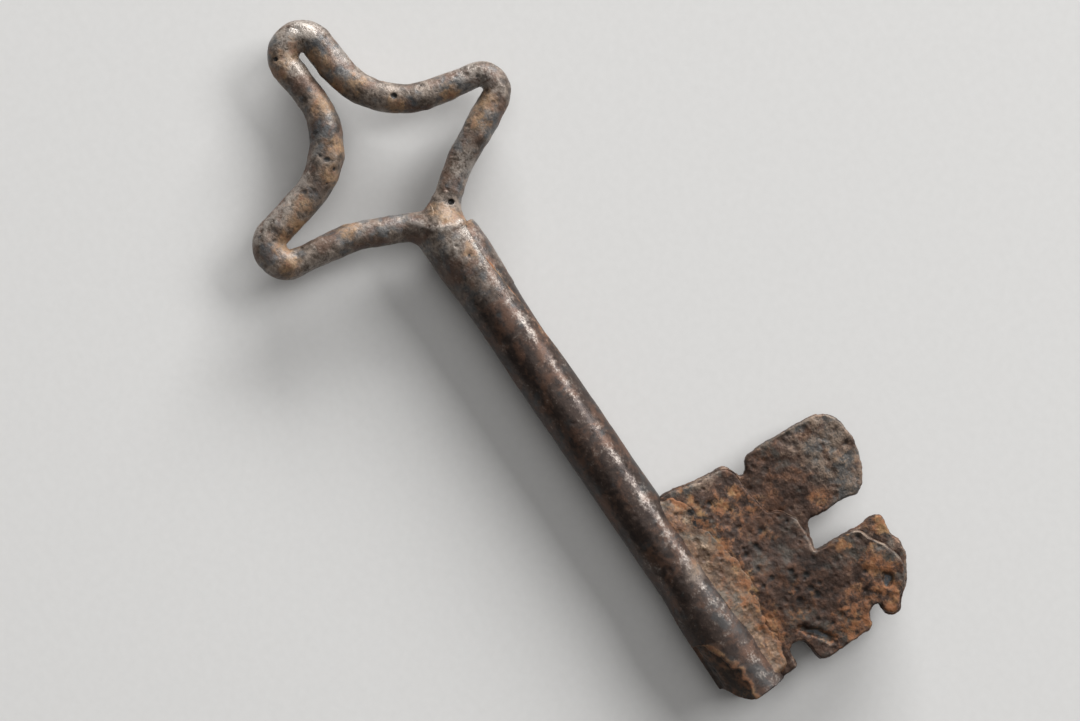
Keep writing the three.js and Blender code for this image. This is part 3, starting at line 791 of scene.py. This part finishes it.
def stem_piece():
    """The stem: a sheet rolled until its outer edge laps over the tucked one. The grid runs down the outside,
    over the rim and back up the bore, and its ends meet."""
    mouth_rows = np.linspace(MOUTH_START, STEM_LENGTH, 56)
    rows_x = np.concatenate([[0.0, 0.03], np.arange(ROW_STEP, MOUTH_START, ROW_STEP), mouth_rows])
    under = rise(1.0 - turn_row / 110.0) * first_half + (fall_row > 0.0)
    x, radius, angle = rolled_sheet(rows_x, under)
    end = through(radius * np.sin(angle), MOUTH_ENDS)
    drawn = MOUTH_START + (x - MOUTH_START) * (end - MOUTH_START) / (STEM_LENGTH - MOUTH_START)
    flat = turned(np.where(x > MOUTH_START, drawn, x), radius, angle)
    outward = turned(0.0, 1.0, angle)
    flat = settled(flat, outward, np.tile(1.0 - np.clip(under, 0.0, 1.0), len(rows_x)))
    height, marks = stem_wear(flat, np.tile(turn_row, len(rows_x)), np.repeat(rows_x, stem_columns))
    outer = flat + outward * height[:, None]
    inner, inner_darkening = stem_bore(outer[-stem_columns:], angle[-1], angle[0])
    points = np.concatenate([outer, inner])
    marks["lift"] = np.concatenate([marks["lift"], worn(inner, 0.3, 23)[1]])
    marks["rust"] = np.concatenate([marks["rust"], np.full(len(inner), 0.5)])
    marks["soot_and_shade"] = np.concatenate([marks["soot_and_shade"], inner_darkening])
    faces = grid_faces(len(points) // stem_columns, stem_columns, closed_rows=True).tolist()
    add_piece("stem_tube_skin", points, faces, smooth_iron, ["stem_tube"], marks)


def seam_piece():
    """Filler and rust along the step of the seam: a low ridge whose height and width come and go."""
    x = np.arange(2.2, 61.0, 0.2)
    share = np.linspace(0.0, 2.0 * np.pi, SEAM_COLUMNS, endpoint=False)
    lumps = ripple(x, 2.2, 3, 51)
    step = through(x, SEAM_STEP)
    tall = (0.42 + 0.22 * lumps) * step
    wide = 0.34 + 0.16 * lumps
    middle_out = stem_radius(x) - step
    down = np.arange(0.0, 104.0, ROW_STEP)
    middle = np.radians(np.interp(x, down, seam_angle(down))) + 0.22 / middle_out
    out = middle_out[:, None] + tall[:, None] * np.sin(share)
    angle = middle[:, None] - (wide / middle_out)[:, None] * np.cos(share)
    points = turned(x[:, None], out, angle)
    points = points + 0.05 * cloud(points, 0.7, 3, 61)[:, None]
    bright = 0.35 + 0.65 * rise((x - 7.0) / 4.0) * (1.0 - rise((x - 28.0) / 10.0))
    marks = {"rust": np.repeat(bright, SEAM_COLUMNS)}
    points, faces = capped(points, len(x), SEAM_COLUMNS)
    add_piece("seam_filler", points, faces, filler, ["seam_braze"], marks)


# Bit

BACK_OUTLINE = (
    (62.7, 2.5), (62.7, 7.4), (63.7, 11.1), (64.3, 15.4), (64.7, 18.4), (66.4, 19.3), (67.9, 19.8),
    (68.1, 20.8), (66.6, 22.0), (65.4, 22.8), (65.3, 26.7), (65.7, 31.6), (65.9, 36.0), (66.7, 39.3),
    (69.4, 41.1), (72.7, 41.6), (76.4, 41.0), (80.0, 39.6), (82.5, 37.6), (83.1, 35.9), (82.3, 34.0),
    (82.4, 30.5), (81.9, 25.4), (84.9, 24.5), (87.6, 23.5), (87.7, 27.3), (88.3, 32.9), (88.0, 36.5),
    (89.2, 37.8), (92.4, 37.1), (95.0, 38.0), (97.7, 37.5), (102.6, 34.4), (103.5, 32.2), (105.7, 30.9),
    (105.7, 28.9), (104.0, 27.9), (102.1, 28.2), (102.1, 26.6), (103.2, 25.1), (105.3, 24.8), (105.3, 20.6),
    (105.4, 16.1), (105.1, 12.9), (103.2, 12.6), (101.3, 12.8), (99.8, 12.0), (99.3, 10.3), (100.1, 9.1),
    (102.1, 8.9), (103.6, 8.8), (103.4, 2.5),
)
FRONT_OUTLINE = (
    (63.0, 2.5), (62.95, 7.5), (63.95, 11.2), (64.55, 15.4), (64.95, 18.2), (66.6, 19.3), (68.5, 19.6),
    (71.1, 19.3), (73.2, 19.7), (76.4, 20.1), (77.2, 22.2), (80.4, 24.2), (82.5, 24.1), (84.7, 23.9),
    (87.4, 23.3), (87.7, 27.3), (88.2, 32.4), (90.4, 33.2), (92.6, 34.4), (95.0, 35.7), (98.2, 36.2),
    (101.9, 33.9), (103.0, 32.0), (105.0, 30.6), (105.1, 29.2), (103.9, 28.1), (102.0, 28.4), (101.9, 26.5),
    (103.1, 24.9), (105.1, 24.6), (105.1, 20.6), (105.2, 16.1), (104.9, 13.1), (103.2, 12.8), (101.3, 13.0),
    (99.6, 12.1), (99.1, 10.3), (100.0, 8.9), (102.2, 8.7), (103.4, 8.6), (103.2, 2.5),
)

# Places on the shown face of the bit: pits, brown zones, dark ground, rust, and the lit tip beside the slot
BIT_PITS = (
    (68.1, 25.2), (66.3, 31.5), (66.3, 29.9), (74.0, 39.8), (95.7, 29.2), (98.6, 27.2), (93.2, 34.0),
    (89.4, 31.7), (68.7, 12.1), (78.4, 17.3), (80.7, 12.3), (87.8, 17.7), (84.1, 12.9), (89.9, 19.7),
    (100.3, 18.7), (80.2, 14.9),
)
BIT_ZONES = (
    (71.5, 15.5), (94.0, 33.5), (99.5, 25.5), (92.0, 16.0), (101.0, 20.0), (77.5, 37.5), (76.0, 10.5),
    (86.5, 10.5),
)
BIT_DARK = ((88.0, 14.0), (90.0, 21.5), (82.0, 19.0), (94.5, 18.5))
BIT_RUST = (
    (69.9, 17.4), (73.4, 18.9), (80.0, 29.9), (75.8, 38.4), (89.2, 28.8), (95.5, 30.7), (100.4, 29.6),
    (88.8, 35.9), (100.7, 22.6), (95.4, 14.8), (71.6, 14.0), (70.0, 13.2), (103.2, 20.9), (80.3, 18.3),
    (91.0, 37.0), (101.6, 31.4), (103.6, 29.6), (97.4, 33.2), (103.8, 23.6),
)
BIT_TIP = ((90.8, 37.0), (89.6, 36.6))

# Edges of the leaves that catch the light
LIT_EDGES = (
    ((63.4, 8.2), (64.3, 13.0), (64.9, 18.0)),
    ((80.4, 24.2), (84.7, 23.9), (87.4, 23.4)),
    ((88.4, 32.6), (90.4, 33.2), (92.6, 34.4), (95.0, 35.7), (98.2, 36.2), (101.6, 34.2)),
    ((65.7, 26.8), (65.9, 31.6), (66.2, 36.0), (67.2, 39.3), (69.8, 41.0)),
)

# The front leaf's two deep hollows: x, y, degrees, half of the length and half of the width
HOLE = (99.2, 31.8, -34.0, 1.3, 0.85)
TROUGH = (100.1, 15.1, 36.0, 3.4, 0.9)
LEAF_RELIEF = 0.85
ROUND_OVER = 0.4
WORN_BACK = 1.5
WALL_STEPS = 6


def rounded_outline(corners):
    """Corners cut twice over: each side keeps its middle three fifths, so that the outline turns in short
    chamfers."""
    outline = np.array(corners)
    for _ in range(2):
        after = np.roll(outline, -1, axis=0)
        cuts = [0.8 * outline + 0.2 * after, 0.2 * outline + 0.8 * after]
        outline = np.stack(cuts, axis=1).reshape(-1, 2)
    return outline


def inside_by(x, y, outline):
    """How far places lie inside an outline: the least distance to its sides, taken negative where a line from
    the place crosses the sides an even number of times."""
    least = np.full(x.shape, 1e9)
    crossed = np.zeros(x.shape, bool)
    for start, end in zip(outline, np.roll(outline, -1, axis=0)):
        least = np.minimum(least, from_side(x, y, start, end))
        run_x, run_y = end - start
        spans = (start[1] > y) != (end[1] > y)
        crossed ^= spans & (x < start[0] + run_x * (y - start[1]) / (run_y if run_y else 1.0))
    return np.where(crossed, least, -least)


def oval(points, x, y, degrees, long, short):
    """1 at a place of the plan, falling as the exponential of minus the fourth power of the way along one
    direction by its length, and of minus the square of the way across it by its width."""
    turn = np.radians(degrees)
    along = (points[:, 0] - x) * np.cos(turn) + (points[:, 1] - y) * np.sin(turn)
    across = (points[:, 1] - y) * np.cos(turn) - (points[:, 0] - x) * np.sin(turn)
    return np.exp(-((along / long) ** 4) - (across / short) ** 2)


def cut_grid(outline, pitch, seed):
    """A square grid cut to an outline that wavers a little, with its border brought onto it along the slope
    of the depth inside. Gives places, their depth and slope, faces, and both ends of the border's sides."""
    start = outline.min(axis=0) - 2 * pitch
    count = np.ceil((outline.max(axis=0) + 2 * pitch - start) / pitch).astype(int)
    ticks = [start[axis] + pitch * np.arange(count[axis]) for axis in (0, 1)]
    x, y = np.meshgrid(*ticks, indexing="ij")
    level = np.stack([x, y, 0.0 * x], axis=2).reshape(-1, 3)
    wavy = 0.14 * cloud(level, 1.3, 3, seed + 5).reshape(x.shape)
    depth = inside_by(x, y, outline) + wavy * (y > 8.0)
    slope = np.stack(np.gradient(depth, pitch), axis=2).reshape(-1, 2)

    middle = (depth[:-1, :-1] + depth[1:, :-1] + depth[:-1, 1:] + depth[1:, 1:]) / 4.0
    row, column = np.nonzero(middle > 0.0)
    here = row * count[1] + column
    after = here + count[1]
    used, faces = np.unique(np.stack([here, after, after + 1, here + 1], axis=1), return_inverse=True)
    faces = faces.reshape(-1, 4)
    starts = faces.ravel()
    ends = np.roll(faces, -1, axis=1).ravel()
    lone = ~np.isin(starts * len(used) + ends, ends * len(used) + starts)
    border = np.unique(starts[lone])

    place = level[used, :2]
    inside = depth.ravel()[used]
    slope = slope[used]
    steep = np.maximum(slope[:, 0] ** 2 + slope[:, 1] ** 2, 0.3)
    place[border] -= slope[border] * (inside / steep)[border, None]
    inside = np.maximum(inside, 0.0)
    inside[border] = 0.0
    return place, inside, slope, faces, starts[lone], ends[lone]


def leaf_relief(face, seed):
    """Relief of a leaf's face: old iron's wear, a lumpy crust and deep pits; and a number round 0 for it."""
    height, lift = worn(face, LEAF_RELIEF, seed)
    crust = cloud(face, 2.8, 3, seed + 71)
    return height + 0.17 * crust - 0.35 * near(face, BIT_PITS, 0.62), np.clip(lift + 0.3 * crust, -1.0, 1.0)


def leaf_marks(front, edge_glow, hole, trough, seed):
    """Marks of a leaf's shown face: rust in flecks, less on the upper lobe and only round the hollows, soot
    in pits and shade, a paler and cooler tone on the upper lobe, painted highlights on the border, the edges
    that catch the light and the trough, a painted blue-grey glint on those edges and in the hollows, and a
    lighter, drier palette painted on the lit edges and the lit tip."""
    x, y, _ = front.T
    hollow = np.maximum(hole, trough)
    shade = near(front, BIT_DARK, 6.0)
    zones = 0.45 * near(front, BIT_ZONES, 5.0) + 0.55 * bell(y, 9.5, 1.6) * (x < 98.0)
    spots = flecked(front, near(front, BIT_RUST, 2.0), seed + 23)
    lit_edge = np.maximum.reduce([near_line(front, corners, 1.3) for corners in LIT_EDGES])
    lit_edge = lit_edge * np.clip(0.35 + 0.9 * cloud(front, 2.2, 3, seed + 19), 0.0, 1.0)
    tip = near(front, BIT_TIP, 1.6)
    lobe = rise((y - 28.0) / 6.0) * (1.0 - rise((x - 82.0) / 4.0))
    rust = np.maximum(spots, flecked(front, zones, seed + 29)) - 0.25 * shade
    rust = rust * (1.0 - hollow) + 0.6 * bell(hollow, 0.3, 0.2)
    return {
        "rust": rust * (1.0 - 0.6 * lobe) - 0.08 * lobe - 0.3 * lit_edge + 0.25 * tip,
        "soot_and_shade": 0.4 * near(front, BIT_PITS, 0.55) + 0.3 * bell(hole, 0.35, 0.2) + 0.24 * shade,
        # Painted highlights on the border, the lit edges and the trough, a paler tone on the upper lobe, a
        # painted glint in the hollows and on the lit edges, and the lit edges and tip made lighter
        "polish_and_painted_highlight": 0.6 * edge_glow + 0.3 * trough - 0.3 * shade + 0.45 * lobe + 0.55 * lit_edge,
        "cool_tone_and_glint": 1.6 * hollow + 0.6 * lobe + 0.9 * lit_edge - 0.5 * shade,
        "dry_and_lit": 0.5 * lobe + 0.4 * lit_edge + 0.8 * tip,
    }


def wall_rings(top, bottom, outward, seed):
    """Rings between the borders of a leaf's two faces, which swell outward a little, with lumpy noise."""
    wall = []
    for share in np.arange(1, WALL_STEPS) / WALL_STEPS:
        ring = top * (1.0 - share) + bottom * share
        swell = 0.1 * np.sin(np.pi * share) + 0.1 * cloud(ring, 0.9, 3, seed + 91)
        ring[:, :2] += outward * swell[:, None]
        wall.append(ring)
    return wall


def leaf_piece(name, corners, low, high, pitch, is_front, nodes, seed):
    """A worn leaf: a grid cut to an outline, with both faces rounded over along the edge and roughened, and
    walls between them. The front leaf, told by 1, is worn back on the upper lobe, has the two hollows, and is
    smooth where it lies on the back leaf."""
    place, inside, slope, quads, starts, ends = cut_grid(rounded_outline(corners), pitch, seed)
    upper_lobe = rise((place[:, 1] - 9.0) / 11.0) * (1.0 - rise((place[:, 0] - 82.0) / 6.0))
    drop = ROUND_OVER * (1.0 - np.sqrt(1.0 - np.clip(1.0 - inside / ROUND_OVER, 0.0, 1.0) ** 2))
    front = np.column_stack([place, high - WORN_BACK * upper_lobe * is_front - drop])
    back = np.column_stack([place, low + drop])
    front_height, front_lift = leaf_relief(front, seed)
    back_height, back_lift = leaf_relief(back, seed)
    calm = 0.35 + 0.65 * rise(inside / 0.5)
    front[:, 2] += front_height * calm
    back[:, 2] -= back_height * calm * (1.0 - is_front)
    bend = np.stack([cloud(front, 1.2, 2, 87), cloud(front, 1.2, 2, 89), 0.0 * inside], axis=1)
    bent = front + 0.35 * bend
    hole = is_front * oval(bent, *HOLE)
    trough = is_front * oval(bent, *TROUGH)
    front[:, 2] -= 0.7 * rise(1.2 * hole) + 0.8 * rise(1.3 * trough)

    size = len(place)
    border = np.unique(starts)
    outward = -slope[border] / np.linalg.norm(slope[border], axis=1)[:, None]
    wall = wall_rings(front[border], back[border], outward, seed)
    points = np.concatenate([front, back] + wall)
    seat = np.full(size, -1)
    seat[border] = np.arange(len(border))
    levels = [np.arange(size)] + [2 * size + ring * len(border) + seat for ring in range(len(wall))]
    levels.append(size + np.arange(size))
    faces = [quads, size + quads[:, ::-1]]
    for upper, lower in zip(levels, levels[1:]):
        faces.append(np.stack([upper[ends], upper[starts], lower[starts], lower[ends]], axis=1))

    # Painted highlight along each leaf's border, left off the front leaf's upper edge
    edge_glow = bell(inside, 0.15, 0.35) * np.clip(0.25 + cloud(front, 3.0, 2, seed + 17), 0.0, 1.0)
    upper_edge = rise((front[:, 0] - 69.0) / 2.0) * (1.0 - rise((front[:, 0] - 83.0) / 2.0))
    edge_glow = edge_glow * (1.0 - is_front * upper_edge)
    marks = leaf_marks(front, edge_glow, hole, trough, seed)
    sides = np.ones(len(points) - 2 * size)
    marks["lift"] = np.concatenate([front_lift, back_lift])
    marks["rust"] = np.concatenate([marks["rust"], np.full(size, 0.15), 0.2 * sides])
    marks["polish_and_painted_highlight"] = np.concatenate([marks["polish_and_painted_highlight"], 0.6 * edge_glow, 0.3 * sides])
    whole = np.concatenate(faces).tolist()
    add_piece(name, points, whole, scaly_iron, nodes, marks)


FILLET_STEPS = 46
FILLET_INNER = 3
UPWARD = np.array([0.0, 0.45, 0.9])
# How far the filler reaches from the stem's middle line, by the way down the stem
FILLET_REACH = (
    (63.2, 6.9), (65, 7.6), (68, 8.6), (71, 8.2), (74.4, 8.8), (77.3, 9.6), (80, 10.1), (84.2, 9.9),
    (87.7, 9.4), (92.5, 8.9), (96.8, 8.5), (102.6, 7.2),
)
# Places on the shown face of the filler: rust, a bright bloom of it, a crevice and pale spots
FILLET_RUST = ((65.0, 7.5), (84.2, 8.4), (87.7, 7.5), (92.5, 7.2), (66.5, 7.8))
FILLET_BLOOM = ((65.1, 7.4), (65.9, 7.9))
FILLET_CREVICE = ((68.2, 8.5), (70.5, 8.0))
FILLET_PALE = ((68.8, 6.5), (74.4, 6.4), (77.3, 5.6))


def fillet_sections(x, face, share, seed):
    """Sections of the filler, y and z by row and column: a curve of the second degree from the stem's round,
    drawn by a bend, to the leaf's face, and then places inside the metal that close it."""
    lumps = ripple(x, 4.2, 3, seed)
    reach = through(x, FILLET_REACH) + 0.6 * lumps + 0.35 * ripple(x, 1.1, 2, seed + 41)
    ends = rise((x - 62.9) / 1.2) * rise((103.0 - x) / 1.5)
    radius = stem_radius(x) - 0.02
    angle = np.radians(52.0 - 5.0 * lumps)
    full = np.ones(len(x))
    first = np.stack([radius * np.sin(angle), radius * np.cos(angle)], axis=1)
    last = np.stack([5.3 + (reach - 5.3) * ends, (face + 0.02) * full], axis=1)
    bend = np.stack([5.35 + 0.3 * lumps, (face + 0.75) * (0.4 + 0.6 * ends)], axis=1)
    share = share[None, :, None]
    curve = first[:, None] * (1.0 - share) ** 2 + 2.0 * bend[:, None] * (share * (1.0 - share))
    curve = curve + last[:, None] * share**2
    inner_y = np.stack([5.2 + (reach - 5.4) * ends, 5.0 * full, first[:, 0] - 0.9], axis=1)
    inner_z = np.stack([(face - 0.6) * full, (face - 0.8) * full, first[:, 1] - 0.8], axis=1)
    return np.concatenate([curve, np.stack([inner_y, inner_z], axis=2)], axis=1)


def fillet_piece(name, face, nodes, seed):
    """Filler along the bit's root: a hollow curve from the stem's round down to the leaf, lumpy along its
    edge, and closed inside the metal that it joins. The face's sign says on which side it lies."""
    x = np.arange(63.2, 102.6, 0.14)
    share = np.linspace(0.0, 1.0, FILLET_STEPS)
    sections = fillet_sections(x, abs(face), share, seed)
    columns = sections.shape[1]
    inner = np.zeros(FILLET_INNER)
    shown = np.tile(np.append(np.sqrt(np.sin(np.pi * share)), inner), len(x))
    rim = np.tile(np.append(bell(share, 0.93, 0.09), inner), len(x))
    points = np.column_stack([np.repeat(x, columns), sections.reshape(-1, 2)])
    mirror = np.array([1.0, 1.0, np.sign(face)])
    height, lift = worn(points * mirror, 1.2, seed + 3)
    crust = cloud(points * mirror, 2.2, 3, seed + 13)
    tall = (height + 0.2 * crust) * shown + 0.08 * rim
    points = (points + UPWARD * tall[:, None]) * mirror
    rust = flecked(points, near(points, FILLET_RUST, 1.3) + 0.9 * rim, seed + 47)
    marks = {
        "lift": np.clip(lift + 0.4 * crust, -1.0, 1.0),
        "rust": 0.7 * (rust + 1.1 * near(points, FILLET_BLOOM, 1.1)),
        "soot_and_shade": 0.7 * near(points, FILLET_CREVICE, 0.7),
        "polish_and_painted_highlight": 0.6 * near(points, FILLET_PALE, 1.1),
    }
    points, faces = capped(points, len(x), columns)
    if face < 0:
        faces = [corners[::-1] for corners in faces]
    add_piece(name, points, faces, filler, nodes, marks)


bar_piece()
foot_piece()
shoulder_piece()
stem_piece()
seam_piece()
leaf_piece("bit_back_plate", BACK_OUTLINE, BACK_FACE, LEAF_PLANE, 0.17, 0.0, ["bit_back_leaf"], 201)
leaf_piece("bit_front_plate", FRONT_OUTLINE, LEAF_PLANE - 0.1, FRONT_FACE, 0.15, 1.0, ["bit_front_leaf"], 231)
fillet_piece("front_root_filler", FRONT_FACE, ["bit_front_fillet"], 301)
fillet_piece("back_root_filler", BACK_FACE, ["bit_back_fillet"], 331)


# Stage: floor, camera and light

STAGE_RIGHT = Vector((0.5625, 0.8268, 0.0))
STAGE_UP = Vector((-0.8268, 0.5625, 0.0))
STAGE_BACK = Vector((0.0, 0.0, 1.0))
PHOTO_PIXELS = 1080
PIXEL_MM = 0.188
FIELD_WIDTH = PHOTO_PIXELS * PIXEL_MM / 1000
CAMERA_AIM = (0.00107, -0.00348)
LENS = 85.0
SENSOR = 36.0
FLOOR_REACH = 1.6
FLOOR_GAP = 0.0002
FLOOR_DARK = (0.60, 0.595, 0.585)
FLOOR_PALE = (0.64, 0.635, 0.625)
LAMP_AWAY = 3.6
WORLD_COLOUR = (1.0, 0.98, 0.96, 1.0)
WORLD_STRENGTH = 0.125


def floor_piece():
    """A wide level sheet just under the key."""
    level = float(box_low[2]) - FLOOR_GAP
    signs = ((-1, -1), (1, -1), (1, 1), (-1, 1))
    mesh = bpy.data.meshes.new("floor")
    mesh.from_pydata([(x * FLOOR_REACH, y * FLOOR_REACH, level) for x, y in signs], [], [(0, 1, 2, 3)])
    finish = Finish("pale_floor")
    fleck = finish.noise(1.5, 3.0, 0.5)
    finish.link(finish.shader, {"Base Color": finish.mix(FLOOR_DARK, FLOOR_PALE, fleck)})
    finish.link(finish.shader, {"Roughness": 0.9, "Specular IOR Level": 0.2})
    mesh.materials.append(finish.material)
    floor = bpy.data.objects.new("floor", mesh)
    bpy.context.scene.collection.objects.link(floor)


def camera_piece():
    """Straight above the key, turned so that the stem runs down to the right as in the picture."""
    lens = bpy.data.cameras.new("camera")
    lens.lens = LENS
    lens.sensor_width = SENSOR
    lens.clip_start = 0.01
    eye = bpy.data.objects.new("camera", lens)
    bpy.context.scene.collection.objects.link(eye)
    aim = Vector((*CAMERA_AIM, float(stem_top[2])))
    turn = Matrix((STAGE_RIGHT, STAGE_UP, STAGE_BACK)).transposed().to_4x4()
    eye.matrix_world = Matrix.Translation(aim + STAGE_BACK * FIELD_WIDTH * LENS / SENSOR) @ turn
    bpy.context.scene.camera = eye


def lamp(name, across, up, above, wide, tall, watts):
    """A soft rectangular lamp that looks at the key from a direction of the picture, its wide side level."""
    light = bpy.data.lights.new(name, "AREA")
    light.shape = "RECTANGLE"
    light.size = wide
    light.size_y = tall
    light.energy = watts
    holder = bpy.data.objects.new(name, light)
    bpy.context.scene.collection.objects.link(holder)
    place = (STAGE_RIGHT * across + STAGE_UP * up + STAGE_BACK * above).normalized() * LAMP_AWAY
    holder.matrix_world = Matrix.Translation(place) @ place.to_track_quat("Z", "Y").to_matrix().to_4x4()


floor_piece()
camera_piece()
lamp("main_softbox", 0.21, 0.95, 0.26, 3.0, 0.72, 232.0)
lamp("side_strip", 0.70, 0.477, 0.53, 2.0, 1.1, 84.0)
lamp("overhead_fill", 0.1, 0.35, 1.0, 3.2, 3.2, 40.0)
world = bpy.data.worlds.new("studio")
world.use_nodes = True
background = world.node_tree.nodes["Background"]
background.inputs[0].default_value = WORLD_COLOUR
background.inputs[1].default_value = WORLD_STRENGTH
bpy.context.scene.world = world
bpy.context.scene.view_settings.view_transform = "Standard"
